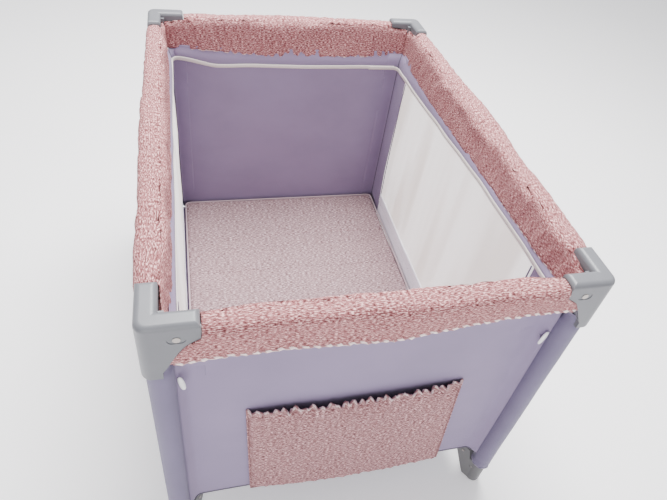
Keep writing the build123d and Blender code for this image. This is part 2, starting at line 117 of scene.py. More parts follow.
def noise1(x, seed):
    """Smooth noise from -1 to 1 along one line."""
    table = np.random.default_rng(seed).uniform(-1, 1, 512)
    x = np.asarray(x, float)
    cell = np.floor(x).astype(int)
    part = ramp(x - cell)
    return table[cell % 512] * (1 - part) + table[(cell + 1) % 512] * part


def noise2(x, y, seed):
    """Smooth noise from -1 to 1 over a surface."""
    table = np.random.default_rng(seed).uniform(-1, 1, (128, 128))
    x, y = np.broadcast_arrays(np.asarray(x, float), np.asarray(y, float))
    cx, cy = np.floor(x).astype(int), np.floor(y).astype(int)
    px, py = ramp(x - cx), ramp(y - cy)
    low = table[cx % 128, cy % 128] * (1 - px) + table[(cx + 1) % 128, cy % 128] * px
    high = table[cx % 128, (cy + 1) % 128] * (1 - px) + table[(cx + 1) % 128, (cy + 1) % 128] * px
    return low * (1 - py) + high * py


def gather(x, spread, seed):
    """Uneven folds like those beside an elastic, about -1 to 1, with narrow valleys."""
    phase = x / spread + 0.55 * noise1(x / spread / 2.3, seed)
    return (1 - 2 * np.abs(np.sin(math.pi * phase)) ** 0.8) * (0.65 + 0.35 * noise1(x / spread / 1.7, seed + 1))


# ---------------------------------------------------------------- materials
def new_material(name, color, roughness, specular=0.4):
    """A material with its node tree and its Principled shader."""
    material = bpy.data.materials.new(name)
    material.use_nodes = True
    tree = material.node_tree
    shader = tree.nodes["Principled BSDF"]
    shader.inputs["Base Color"].default_value = (*color, 1)
    shader.inputs["Roughness"].default_value = roughness
    shader.inputs["Specular IOR Level"].default_value = specular
    return material, tree, shader


def toned(base, share):
    """A colour made lighter or darker."""
    return tuple(channel * share for channel in base)


def scaled_place(tree, source, scale):
    """Texture coordinates scaled along each axis."""
    place = tree.nodes.new("ShaderNodeTexCoord")
    mapping = tree.nodes.new("ShaderNodeMapping")
    mapping.inputs["Scale"].default_value = scale
    tree.links.new(place.outputs[source], mapping.inputs["Vector"])
    return mapping.outputs["Vector"]


def noise_node(tree, vector, scale, detail=2.0, rough=0.5):
    """A noise texture's factor."""
    texture = tree.nodes.new("ShaderNodeTexNoise")
    texture.inputs["Scale"].default_value = scale
    texture.inputs["Detail"].default_value = detail
    texture.inputs["Roughness"].default_value = rough
    tree.links.new(vector, texture.inputs["Vector"])
    return texture.outputs["Fac"]


def color_ramp(tree, factor, stops):
    """Colours along a factor."""
    ramp_node = tree.nodes.new("ShaderNodeValToRGB")
    elements = ramp_node.color_ramp.elements
    while len(elements) < len(stops):
        elements.new(0.5)
    for element, (place, color) in zip(elements, stops):
        element.position = place
        element.color = (*color, 1)
    tree.links.new(factor, ramp_node.inputs["Fac"])
    return ramp_node.outputs["Color"]


def mix_colors(tree, blend, factor, first, second):
    """Two colours mixed by a blend type."""
    mix = tree.nodes.new("ShaderNodeMix")
    mix.data_type = "RGBA"
    mix.blend_type = blend
    if isinstance(factor, float):
        mix.inputs["Factor"].default_value = factor
    else:
        tree.links.new(factor, mix.inputs["Factor"])
    tree.links.new(first, mix.inputs["A"])
    tree.links.new(second, mix.inputs["B"])
    return mix.outputs["Result"]


def add_bump(tree, shader, height, strength, distance):
    """Bump from a height factor."""
    bump = tree.nodes.new("ShaderNodeBump")
    bump.inputs["Strength"].default_value = strength
    bump.inputs["Distance"].default_value = distance
    tree.links.new(height, bump.inputs["Height"])
    tree.links.new(bump.outputs["Normal"], shader.inputs["Normal"])
    return bump


def weave_height(tree, vector, pitch):
    """The height of a plain weave with threads a pitch apart."""
    height = None
    for direction in ("X", "Y"):
        wave = tree.nodes.new("ShaderNodeTexWave")
        wave.bands_direction = direction
        wave.inputs["Scale"].default_value = 1 / pitch / 2 / math.pi * 3.14
        wave.inputs["Distortion"].default_value = 0.4
        tree.links.new(vector, wave.inputs["Vector"])
        if height is None:
            height = wave.outputs["Fac"]
            continue
        multiply = tree.nodes.new("ShaderNodeMath")
        multiply.operation = "MULTIPLY"
        tree.links.new(height, multiply.inputs[0])
        tree.links.new(wave.outputs["Fac"], multiply.inputs[1])
        height = multiply.outputs["Value"]
    return height


def melange(name, dark, base, light, slub=(170, 640), sheen=0.05):
    """A slubby two-tone cloth: short streaks of thread along the cloth's length."""
    material, tree, shader = new_material(name, base, 0.82, 0.25)
    along, across = slub
    streaks = scaled_place(tree, "UV", (along, across, 1))
    fine = noise_node(tree, streaks, 1.0, 2.0, 0.55)
    slow_streaks = scaled_place(tree, "UV", (along * 0.55, across * 0.4, 1))
    coarse = noise_node(tree, slow_streaks, 1.0)
    both = tree.nodes.new("ShaderNodeMix")
    both.inputs["Factor"].default_value = 0.12
    tree.links.new(fine, both.inputs["A"])
    tree.links.new(coarse, both.inputs["B"])
    fine = both.outputs["Result"]
    color = color_ramp(tree, fine, [(0.41, dark), (0.48, base), (0.54, base), (0.60, light)])
    threads = scaled_place(tree, "UV", (across * 0.8, along * 1.2, 1))
    crossed = noise_node(tree, threads, 1.0, 2.0, 0.5)
    shades = [(0.38, (0.78, 0.75, 0.75)), (0.52, (1, 1, 1)), (0.68, (1.2, 1.18, 1.18))]
    color = mix_colors(tree, "MULTIPLY", 0.6, color, color_ramp(tree, crossed, shades))
    patches = noise_node(tree, scaled_place(tree, "UV", (9, 14, 1)), 1.0, 3.0, 0.6)
    tone = color_ramp(tree, patches, [(0.3, (0.93, 0.92, 0.92)), (0.7, (1.05, 1.05, 1.05))])
    color = mix_colors(tree, "MULTIPLY", 0.8, color, tone)
    tree.links.new(color, shader.inputs["Base Color"])
    shader.inputs["Sheen Weight"].default_value = sheen
    shader.inputs["Sheen Roughness"].default_value = 0.5
    shader.inputs["Sheen Tint"].default_value = (*light, 1)
    weave = weave_height(tree, scaled_place(tree, "UV", (1, 1, 1)), 0.0016)
    combined = tree.nodes.new("ShaderNodeMath")
    combined.operation = "ADD"
    tree.links.new(weave, combined.inputs[0])
    tree.links.new(fine, combined.inputs[1])
    add_bump(tree, shader, combined.outputs["Value"], 0.3, 0.0006)
    return material


def oxford(name, base, shade=0.9, source="UV"):
    """A smooth coated polyester cloth with a fine weave, and painted shade and highlight of faint soft folds in
    its colour.
    """
    material, tree, shader = new_material(name, base, 0.62, 0.35)
    # Painted shade and highlight: wide soft patches a little darker and lighter than the base, standing for faint
    # folds.
    wide = noise_node(tree, scaled_place(tree, source, (5, 7, 5)), 1.0, 3.0, 0.55)
    tone = toned(base, shade)
    color = color_ramp(tree, wide, [(0.3, tone), (0.55, base), (0.8, toned(base, 1.05))])
    grain = noise_node(tree, scaled_place(tree, source, (900, 900, 900)), 1.0, 2.0, 0.6)
    specks = color_ramp(tree, grain, [(0.35, (0.93, 0.93, 0.94)), (0.65, (1.04, 1.04, 1.04))])
    color = mix_colors(tree, "MULTIPLY", 0.7, color, specks)
    tree.links.new(color, shader.inputs["Base Color"])
    shader.inputs["Sheen Weight"].default_value = 0.15
    shader.inputs["Sheen Roughness"].default_value = 0.4
    weave = weave_height(tree, scaled_place(tree, source, (1, 1, 1)), 0.0009)
    add_bump(tree, shader, weave, 0.22, 0.0006)
    return material


def netting(name, base, opacity):
    """A fine net: threads round small holes, nearly closed at a distance. It glows a little as painted light and
    carries painted shade of soft upright folds in its colour.
    """
    material, tree, shader = new_material(name, base, 0.7, 0.2)
    vector = scaled_place(tree, "UV", (420, 420, 1))
    holes = tree.nodes.new("ShaderNodeTexVoronoi")
    holes.inputs["Scale"].default_value = 1.0
    holes.inputs["Randomness"].default_value = 0.15
    tree.links.new(vector, holes.inputs["Vector"])
    low, high = opacity
    alpha = color_ramp(
        tree, holes.outputs["Distance"], [(0.25, (low, low, low)), (0.55, (high, high, high))]
    )
    tree.links.new(alpha, shader.inputs["Alpha"])
    # Painted light: the net glows in its own colour, though it is no lamp.
    shader.inputs["Emission Color"].default_value = (*base, 1)
    shader.inputs["Emission Strength"].default_value = 0.75
    # Painted shade of soft upright folds: streaks of darker warm grey.
    tone = noise_node(tree, scaled_place(tree, "UV", (9, 1.3, 1)), 1.0, 1.0)
    shadow = tuple(c * k for c, k in zip(base, (0.84, 0.80, 0.77)))
    color = color_ramp(tree, tone, [(0.40, shadow), (0.56, base)])
    tree.links.new(color, shader.inputs["Emission Color"])
    tree.links.new(color, shader.inputs["Base Color"])
    add_bump(tree, shader, holes.outputs["Distance"], 0.3, 0.0006)
    return material


def plastic(name, base, roughness=0.42, grain=0.12):
    """Moulded plastic with a fine spark-eroded grain and slight colour drift."""
    material, tree, shader = new_material(name, base, roughness, 0.45)
    place = scaled_place(tree, "Object", (1, 1, 1))
    wide = noise_node(tree, place, 14.0, 3.0, 0.6)
    color = color_ramp(
        tree, wide, [(0.3, toned(base, 0.92)), (0.7, toned(base, 1.05))]
    )
    tree.links.new(color, shader.inputs["Base Color"])
    spark = noise_node(tree, place, 1400.0, 2.0, 0.7)
    rough = tree.nodes.new("ShaderNodeMapRange")
    rough.inputs["To Min"].default_value = roughness - 0.06
    rough.inputs["To Max"].default_value = roughness + 0.1
    tree.links.new(wide, rough.inputs["Value"])
    tree.links.new(rough.outputs["Result"], shader.inputs["Roughness"])
    add_bump(tree, shader, spark, grain, 0.0004)
    return material


def metal(name, base, roughness, metallic=0.9):
    """Drawn steel with fine scratches along it."""
    material, tree, shader = new_material(name, base, roughness)
    shader.inputs["Metallic"].default_value = metallic
    place = scaled_place(tree, "Object", (300, 300, 25))
    marks = noise_node(tree, place, 1.0, 3.0, 0.6)
    color = color_ramp(
        tree, marks, [(0.3, toned(base, 0.85)), (0.7, toned(base, 1.1))]
    )
    tree.links.new(color, shader.inputs["Base Color"])
    add_bump(tree, shader, marks, 0.15, 0.0003)
    return material


def thread(name, base, light):
    """Bulky overlock thread: slanting bands of two tones."""
    material, tree, shader = new_material(name, base, 0.85, 0.2)
    wave = tree.nodes.new("ShaderNodeTexWave")
    wave.bands_direction = "DIAGONAL"
    wave.inputs["Scale"].default_value = 1.0
    wave.inputs["Distortion"].default_value = 1.5
    vector = scaled_place(tree, "UV", (34, 34, 1))
    tree.links.new(vector, wave.inputs["Vector"])
    color = color_ramp(tree, wave.outputs["Fac"], [(0.3, base), (0.62, light)])
    tree.links.new(color, shader.inputs["Base Color"])
    add_bump(tree, shader, wave.outputs["Fac"], 0.7, 0.001)
    return material


ROSE = melange("rose_melange", (0.11, 0.03, 0.032), (0.36, 0.138, 0.142), (0.86, 0.51, 0.49))
POCKET_ROSE = melange("pocket_melange", (0.10, 0.035, 0.04), (0.31, 0.145, 0.15), (0.82, 0.52, 0.52), (150, 620))
MATTRESS_COLORS = ((0.12, 0.07, 0.075), (0.29, 0.185, 0.195), (0.56, 0.43, 0.45))
MATTRESS_ROSE = melange("mattress_melange", *MATTRESS_COLORS, (120, 600))
LILAC = oxford("lilac_oxford", (0.258, 0.204, 0.322))
PALE_LILAC = oxford("pale_lilac", (0.93, 0.92, 1.0))
# Painted shade: the lilac wall cloth made darker, used for the leg sleeves and the net binding.
SHADED_LILAC = oxford("sleeve_oxford_painted_shade", (0.155, 0.13, 0.215))
PIPING = oxford("dark_piping", (0.10, 0.085, 0.12))
MATTRESS_EDGE = oxford("mattress_piping", (0.50, 0.38, 0.40))
TAPE = oxford("zipper_tape", (0.72, 0.66, 0.62))
NET = netting("cream_net", (0.95, 0.93, 0.91), (0.88, 1.0))
OVERLOCK = thread("overlock_thread", (0.40, 0.19, 0.20), (0.95, 0.80, 0.77))
POCKET_THREAD = thread("pocket_thread", (0.33, 0.17, 0.175), (0.78, 0.58, 0.56))
WALL_OVERLOCK = thread("lilac_thread", (0.20, 0.17, 0.26), (0.36, 0.32, 0.42))
GREY_PLASTIC = plastic("grey_plastic", (0.15, 0.152, 0.165), 0.34)
FOOT_PLASTIC = plastic("foot_plastic", (0.12, 0.118, 0.12), 0.5)
DARK_PLASTIC = plastic("dark_plastic", (0.06, 0.06, 0.07), 0.4)
BUTTON_PLASTIC = plastic("button_plastic", (0.45, 0.07, 0.07), 0.35)
TOGGLE_PLASTIC = plastic("toggle_plastic", (0.85, 0.83, 0.84), 0.25, 0.04)
STEEL = metal("painted_steel", (0.55, 0.55, 0.57), 0.38, 0.55)
RIVET = metal("rivet_steel", (0.42, 0.38, 0.35), 0.3)


def dress_cad_nodes():
    """Give every CAD node that stays in view its material."""
    table = (
        (("leg_", "cross_bar_", "rail_front", "rail_back", "rail_left", "rail_right"), STEEL),
        (("corner_bracket_",), GREY_PLASTIC),
        (("foot_", "hub"), FOOT_PLASTIC),
        (("latch_housing_",), DARK_PLASTIC),
        (("latch_button_",), BUTTON_PLASTIC),
        (("corner_pins_", "hub_pins"), RIVET),
    )
    for name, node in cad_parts.items():
        for starts, material in table:
            if name.startswith(starts):
                node.data.materials.clear()
                node.data.materials.append(material)


# ---------------------------------------------------------------- mesh making
def make_object(name, vertices, faces, uv=None, material=None, smooth=True):
    """An object from plain arrays, with metre-scaled UVs when given."""
    mesh = bpy.data.meshes.new(name)
    mesh.from_pydata([tuple(map(float, v)) for v in vertices], [], [tuple(f) for f in faces])
    if uv is not None:
        layer = mesh.uv_layers.new(name="UVMap")
        corners = np.zeros(len(mesh.loops), int)
        mesh.loops.foreach_get("vertex_index", corners)
        layer.data.foreach_set("uv", np.asarray(uv, float)[corners].ravel())
    mesh.polygons.foreach_set("use_smooth", [smooth] * len(mesh.polygons))
    obj = bpy.data.objects.new(name, mesh)
    bpy.context.scene.collection.objects.link(obj)
    if material:
        mesh.materials.append(material)
    return obj


def apply_modifiers(obj):
    """Bake an object's modifiers into its mesh."""
    depsgraph = bpy.context.evaluated_depsgraph_get()
    mesh = bpy.data.meshes.new_from_object(obj.evaluated_get(depsgraph))
    old = obj.data
    obj.modifiers.clear()
    obj.data = mesh
    bpy.data.meshes.remove(old)
    mesh.polygons.foreach_set("use_smooth", [True] * len(mesh.polygons))
    mesh.update()
    return obj


def thicken(obj, thickness, offset=-1.0):
    """Give a sheet its thickness."""
    solid = obj.modifiers.new("thickness", "SOLIDIFY")
    solid.thickness = thickness
    solid.offset = offset
    return apply_modifiers(obj)


def settle(obj, held, cap, growth=0.03, pressure=0.0, frames=14):
    """Let a sheet buckle and swell as cloth, held where told, with no point moving further than the cap."""
    mesh = obj.data
    rest = np.zeros(len(mesh.vertices) * 3)
    mesh.vertices.foreach_get("co", rest)
    group = obj.vertex_groups.new(name="held")
    for index, weight in enumerate(held):
        if weight > 0:
            group.add([index], float(weight), "REPLACE")
    cloth = obj.modifiers.new("cloth", "CLOTH")
    settings = cloth.settings
    settings.quality = 6
    settings.mass = 0.25
    settings.tension_stiffness = 12
    settings.compression_stiffness = 12
    settings.shear_stiffness = 6
    settings.bending_stiffness = 0.35
    settings.air_damping = 4
    settings.vertex_group_mass = "held"
    settings.shrink_min = -growth
    settings.effector_weights.gravity = 0.0
    if pressure:
        settings.use_pressure = True
        settings.uniform_pressure_force = pressure
    cloth.collision_settings.use_collision = False
    cloth.point_cache.frame_start = 1
    cloth.point_cache.frame_end = frames
    scene = bpy.context.scene
    for step in range(1, frames + 1):
        scene.frame_set(step)
    moved = obj.evaluated_get(bpy.context.evaluated_depsgraph_get()).to_mesh()
    after = np.zeros(len(mesh.vertices) * 3)
    moved.vertices.foreach_get("co", after)
    obj.evaluated_get(bpy.context.evaluated_depsgraph_get()).to_mesh_clear()
    obj.modifiers.clear()
    obj.vertex_groups.clear()
    scene.frame_set(1)
    shift = (after - rest).reshape(-1, 3)
    size = np.linalg.norm(shift, axis=1, keepdims=True)
    shift *= np.minimum(1, cap * np.tanh(size / cap) / np.maximum(size, 1e-9))
    mesh.vertices.foreach_set("co", (rest.reshape(-1, 3) + shift).ravel())
    mesh.update()
    return obj


def grid_sheet(name, points, uv, material, skip=None, closed=False):
    """A sheet from a grid of points, rows by columns, leaving out the faces that skip names."""
    rows, columns = points.shape[:2]
    faces = []
    for i in range(rows - 1):
        for j in range(columns - (0 if closed else 1)):
            if skip is not None and skip(i, j):
                continue
            k = (j + 1) % columns
            faces.append((i * columns + j, i * columns + k, (i + 1) * columns + k, (i + 1) * columns + j))
    used = sorted({v for face in faces for v in face})
    order = {v: n for n, v in enumerate(used)}
    flat, flat_uv = points.reshape(-1, 3)[used], uv.reshape(-1, 2)[used]
    return make_object(name, flat, [[order[v] for v in face] for face in faces], flat_uv, material)


def grid_normals(points):
    """The unit normals of a grid of points."""
    along = np.gradient(points, axis=0)
    across = np.gradient(points, axis=1)
    normal = np.cross(along, across)
    return normal / np.maximum(np.linalg.norm(normal, axis=2, keepdims=True), 1e-9)


def tube_along(name, path, radius, material, sides=8, twist_pitch=None, lump=0.0):
    """A tube along a path of points, lumpy like thread when asked."""
    path = np.asarray(path, float)
    step = np.linalg.norm(np.diff(path, axis=0), axis=1)
    distance = np.concatenate([[0], np.cumsum(step)])
    tangent = np.gradient(path, axis=0)
    tangent /= np.linalg.norm(tangent, axis=1, keepdims=True)
    up = np.tile((0.0, 0.0, 1.0), (len(path), 1))
    up[np.abs(tangent[:, 2]) > 0.9] = (0.0, 1.0, 0.0)
    side = np.cross(tangent, up)
    side /= np.linalg.norm(side, axis=1, keepdims=True)
    up = np.cross(side, tangent)
    angle = np.linspace(0, 2 * math.pi, sides, endpoint=False)
    size = np.full((len(path), sides), radius)
    if twist_pitch:
        turn = distance[:, None] / twist_pitch * 2 * math.pi
        size = radius * (1 + lump * np.sin(turn + angle[None, :]))
    ring = side[:, None, :] * np.cos(angle)[None, :, None] + up[:, None, :] * np.sin(angle)[None, :, None]
    points = path[:, None, :] + ring * size[:, :, None]
    u = np.repeat(distance[:, None], sides, axis=1)
    v = np.repeat(angle[None, :] * radius, len(path), axis=0)
    obj = grid_sheet(name, points, np.stack([u, v], axis=2), material, closed=True)
    mesh = obj.data
    count = len(path) * sides
    ends = [list(range(sides))[::-1], list(range(count - sides, count))]
    build = [list(p.vertices) for p in mesh.polygons] + ends
    vertices = [tuple(v.co) for v in mesh.vertices]
    uv = np.stack([u, v], axis=2).reshape(-1, 2)
    bpy.data.objects.remove(obj)
    return make_object(name, vertices, build, uv, material)


def rounded_path(points, radii, spacing):
    """Evenly spaced points along straight runs joined by arcs, in any number of dimensions."""
    points = [np.array(p, float) for p in points]
    dense = [points[0]]
    for before, corner, after, radius in zip(points, points[1:], points[2:], radii):
        first, second = before - corner, after - corner
        first, second = first / np.linalg.norm(first), second / np.linalg.norm(second)
        half = math.acos(np.clip(first @ second, -1, 1)) / 2
        reach = radius / math.tan(half)
        start, end = corner + first * reach, corner + second * reach
        center = corner + (first + second) / np.linalg.norm(first + second) * radius / math.sin(half)
        for share in np.linspace(0, 1, 9):
            spot = start * (1 - share) + end * share - center
            dense.append(center + spot / np.linalg.norm(spot) * radius)
    dense.append(points[-1])
    dense = np.array(dense)
    distance = np.concatenate([[0], np.cumsum(np.linalg.norm(np.diff(dense, axis=0), axis=1))])
    count = max(3, int(round(distance[-1] / spacing)) + 1)
    even = np.linspace(0, distance[-1], count)
    return np.stack([np.interp(even, distance, dense[:, k]) for k in range(dense.shape[1])], axis=1), even


def wear(piece, body):
    """Attach a piece to the body that carries it."""
    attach(piece, body)


# ---------------------------------------------------------------- rail covers
def bracket_edge(z):
    """How far from the corner the bracket's slanted edge is at a height."""
    heights = [BRACKET_TIP, 0.674, 0.711, ARM_END_LOW, 0.76]
    reaches = [0.020, 0.042, 0.0635, ARM_LENGTH, ARM_LENGTH]
    return np.interp(z, heights, reaches)


COVER_STYLE = {
    # side: seed, wrinkle depth, wrinkle spacing, outward bulge at the middle, upward bulge
    "front": (11, 0.0010, 0.030, 0.006, 0.002),
    "right": (23, 0.0009, 0.045, 0.014, 0.003),
    "back": (37, 0.0042, 0.024, 0.006, 0.004),
    "left": (49, 0.0009, 0.050, 0.006, 0.003),
}


def cover_points(sign_x, sign_y, along_x, side):
    """The grid of one half cover, from the bracket to the middle of its side."""
    seed, depth, spread, bulge, crown = COVER_STYLE[side]
    half = HALF_X if along_x else HALF_Y
    profile, around = rounded_path(
        [
            (0.0035, COVER_OUTER_LOW),
            (-0.0008, COVER_TOP - 0.007),
            (COVER_WIDTH / 2, COVER_TOP - 0.001),
            (COVER_WIDTH - 0.005, COVER_TOP - 0.014),
            (COVER_WIDTH - 0.001, COVER_INNER_LOW),
        ],
        (0.013, 0.03, 0.020),
        0.0052,
    )
    lip = int(np.searchsorted(profile[:, 0][: len(profile) * 3 // 4], ARM_WIDTH + 0.0015))
    inward, height = profile[:, 0].copy(), profile[:, 1]
    inward[lip - 1], inward[lip] = ARM_WIDTH + 0.0002, ARM_WIDTH + 0.0016
    outer = inward < 0.010
    low_share = 1 - np.clip((height - COVER_OUTER_LOW) / (COVER_TOP - COVER_OUTER_LOW), 0, 1)
    end_rise = 0.018 if side == "front" and sign_x > 0 else 0.0
    start = np.where(outer, bracket_edge(height + end_rise * low_share ** 1.2) + 0.0012, ARM_LENGTH + 0.0012)
    start = np.where(np.arange(len(inward)) >= lip, ARM_WIDTH + 0.0075, start)
    columns = int((half - 0.07) / 0.0055)
    share = np.linspace(0, 1, columns + 1)[:, None]
    s = start[None, :] * (1 - share) + half * share
    world = (half - s) * (sign_x if along_x else sign_y)
    t = around[None, :] + 0 * s
    middle_swell = np.exp(-(((half - s) / 0.11) ** 2)) + 0.35 * np.sin(math.pi * np.clip(s / half, 0, 1)) ** 2
    d = inward[None, :] + 0 * s
    z = height[None, :] + 0 * s
    upper = np.clip((z - COVER_OUTER_LOW) / (COVER_TOP - COVER_OUTER_LOW), 0, 1)
    outward = np.clip(1 - d / 0.03, 0, 1)
    ends = ease((s - start[None, :]) / 0.03)
    d = d - bulge * middle_swell * outward * (0.45 + 0.55 * upper) * ends
    hug = 1 - ease((s - 0.075) / 0.085)
    d = np.where(d > ARM_WIDTH, ARM_WIDTH + (d - ARM_WIDTH) * (1 - 0.30 * hug), d)
    z = z + crown * middle_swell * ramp(upper) * ends
    z = z - 0.009 * hug * ease((d - 0.026) / 0.010) * ramp(upper)
    hem_rise = {
        "front": 0.018 * ease((world + 0.02) / 0.32),
        "right": 0.004 + 0 * world,
        "back": 0 * world,
        "left": 0 * world,
    }[side]
    lip_rise = {
        "front": 0.006 + 0 * world,
        "right": 0.025 * ease((0.30 - world) / 0.75) - 0.003,
        "back": 0.010 * ease((-world - 0.02) / 0.3)
        - 0.007 * np.cos(np.clip(world, -0.3, 0.3) / 0.2) ** 2,
        "left": 0.008 + 0 * world,
    }[side]
    z = z + np.where(d < COVER_WIDTH / 2, hem_rise, lip_rise) * (1 - upper) ** 1.2
    sag = 0.010 * np.sin(math.pi * np.clip(s / half, 0, 1)) ** 1.0 * (1 - upper)
    z = z + sag * outward
    scallop = 0.0016 * noise1(world / 0.021, seed + 5) + 0.0009 * noise1(world / 0.008, seed + 6)
    z = z + scallop * (1 - upper) ** 3
    lean = world + 0.32 * (z - RAIL_Z)
    lean_back = world - 0.25 * (z - RAIL_Z)
    folds = gather(lean, spread, seed) * (0.5 + 0.5 * noise2(world / 0.12, t / 0.05, seed + 2))
    patchy = 0.5 + 0.5 * noise2(world / 0.09, t / 0.07, seed + 4)
    folds += 0.6 * gather(lean_back, spread * 1.6, seed + 3) * patchy
    soft = noise2(world / 0.06, t / 0.045, seed + 7)
    fade = 0.25 + 0.75 * ease(1 - upper * 0.75)
    lift = depth * folds * fade + 0.0012 * soft * (0.4 + 0.6 * fade)
    lift *= 0.35 + 0.65 * ends
    x = (sign_x * (HALF_X - s), sign_x * (HALF_X - d))[0 if along_x else 1]
    y = (sign_y * (HALF_Y - d), sign_y * (HALF_Y - s))[0 if along_x else 1]
    points = np.stack([x, y, z], axis=2)
    normal = grid_normals(points)
    out = np.stack([0 * d if along_x else sign_x + 0 * d, sign_y + 0 * d if along_x else 0 * d, 0 * d], axis=2)
    if np.sum(normal[:, :6] * out[:, :6]) < 0:
        normal = -normal
    points = points + normal * (lift - COVER_THICK * 0.2)[:, :, None]
    return points, world, t


def open_middle(cover, axis):
    """Take away the edge faces where two half covers meet, so that no seam shows."""
    mesh = bmesh.new()
    mesh.from_mesh(cover.data)
    ends = [face for face in mesh.faces if all(abs(v.co[axis]) < 0.0012 for v in face.verts)]
    bmesh.ops.delete(mesh, geom=ends, context="FACES")
    mesh.to_mesh(cover.data)
    mesh.free()


def rail_cover(sign_x, sign_y, along_x, side, name):
    """Half of a padded rail cover with its overlocked edges."""
    points, world, t = cover_points(sign_x, sign_y, along_x, side)
    node = f"rail_cover_{name}"
    cover = grid_sheet(f"cover_{name}", points, np.stack([world, t], axis=2), ROSE)
    rows, columns = points.shape[:2]
    held = np.zeros((rows, columns))
    held[:2] = held[-2:] = held[:, 0] = held[:, -1] = 1
    settle(cover, held.ravel(), 0.0045, 0.018, 0.5)
    points = np.array([v.co for v in cover.data.vertices]).reshape(rows, columns, 3)
    inside = -1.0 if sign_x * sign_y * (1 if along_x else -1) > 0 else 1.0
    thicken(cover, COVER_THICK, inside)
    open_middle(cover, 0 if along_x else 1)
    body = f"half_rail_{name}"
    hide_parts(node)
    dress = [cover]
    for edge, column in (("outer", 0), ("inner", -1)):
        path = points[1 if edge == "outer" else 4 :, column].copy()
        path[:, 2] -= 0.0010
        path[:, 1 if along_x else 0] += (sign_y if along_x else sign_x) * (0.0012 if edge == "outer" else -0.0004)
        size = 0.0034 if edge == "outer" else 0.0024
        hem = tube_along(f"overlock_{edge}_{name}", path, size, OVERLOCK, 10, 0.0100, 0.30)
        dress.append(hem)
    for piece in dress:
        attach(piece, body)
        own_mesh(piece)


def rail_covers():
    """All eight half covers."""
    for corner, (sign_x, sign_y) in CORNERS.items():
        end, side = corner.split("_")
        rail_cover(sign_x, sign_y, True, end, f"{end}_{side}")
        rail_cover(sign_x, sign_y, False, side, f"{side}_{end}")


# ---------------------------------------------------------------- walls
WALLS = {
    # name: is it a side wall, its sign, the post that holds it
    "front_wall": (False, -1, "front_left"),
    "right_wall": (True, 1, "front_right"),
    "back_wall": (False, 1, "back_right"),
    "left_wall": (True, -1, "back_left"),
}
MESH_SIDE = 0.078
MESH_LOW = 0.172
MESH_TOP = TAPE_Z - TAPE_HALF
BAND_TOP = 0.205
TURN_OUT = 0.0075
TOGGLE_SPOT = (0.3262, -0.4945)


def wall_plan(is_side, sign):
    """The wall's line seen from above, from sleeve to sleeve, and the distance along it."""
    if is_side:
        start = (sign * (POST_X - 0.006), POST_Y - SLEEVE_RADIUS + 0.001)
        turn = (sign * (WALL_X - 0.0005), POST_Y - 0.036)
    else:
        start = (POST_X - SLEEVE_RADIUS + 0.001, sign * (POST_Y - 0.006))
        turn = (POST_X - 0.036, sign * (WALL_Y - 0.0005))
    mirror = np.array((1, -1) if is_side else (-1, 1))
    points = [np.array(start) * mirror, np.array(turn) * mirror, turn, start]
    return rounded_path(points, (0.016, 0.016), 0.007)


def wall_grid(is_side, sign, seed, rows):
    """The wall's grid of points with its slack and soft folds."""
    plan, distance = wall_plan(is_side, sign)
    along = plan[:, 1] if is_side else plan[:, 0]
    length = distance[-1]
    s = distance[:, None] + 0 * rows[None, :]
    z = rows[None, :] + 0 * s
    edge = np.minimum(s, length - s)
    free = ease(edge / 0.09)
    rise = np.clip((z - WALL_LOW) / (WALL_TOP - WALL_LOW), 0, 1)
    slack = 0.0035 * np.sin(math.pi * rise) * noise2(s / 0.22, z / 0.3, seed)
    slack += 0.0012 * noise2(s / 0.07, z / 0.16, seed + 1)
    pull = np.exp(-((edge / 0.06) ** 2)) * np.exp(-(((z - 0.585) / 0.06) ** 2))
    slack += 0.0016 * pull * np.sin((z - 0.585 + 0.5 * edge) / 0.0075)
    offset = slack * (0.2 + 0.8 * free) + 0.0080 * ease((z - 0.640) / 0.030)
    x = plan[:, 0][:, None] + 0 * z
    y = plan[:, 1][:, None] + 0 * z
    if is_side:
        x = x + sign * offset
    else:
        y = y + sign * offset
    return np.stack([x, y, warp(z, along[:, None], is_side, sign)], axis=2), s, z, along


def zip_rise(along, is_side, sign):
    """How far the zipper line climbs above its usual height along a wall."""
    if is_side:
        near = np.interp(-along, (-0.43, -0.19, 0.126, 0.32, 0.45), (0.0, 0.010, 0.032, 0.037, 0.040))
        if sign > 0:
            return near
        return 0.7 * near + 0.021 * ease((along - 0.36) / 0.11)
    if sign > 0:
        return 0.021 * ease((-along - 0.20) / 0.12)
    return 0.034 + 0 * along


def warp(z, along, is_side, sign):
    """Heights moved so that the usual zipper height follows its rising line."""
    rise = zip_rise(along, is_side, sign)
    below = ease((z - 0.30) / (TAPE_Z - 0.30))
    above = 0.25 + 0.75 * np.clip((WALL_TOP - z) / (WALL_TOP - TAPE_Z), 0, 1)
    return z + rise * np.where(z < TAPE_Z, below, above)


def shared_fold(piece, is_side, post):
    """Ride on the wall's own post."""
    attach(piece, f"post_{post}")
    if is_side:
        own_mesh(piece)
    else:
        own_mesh(piece)


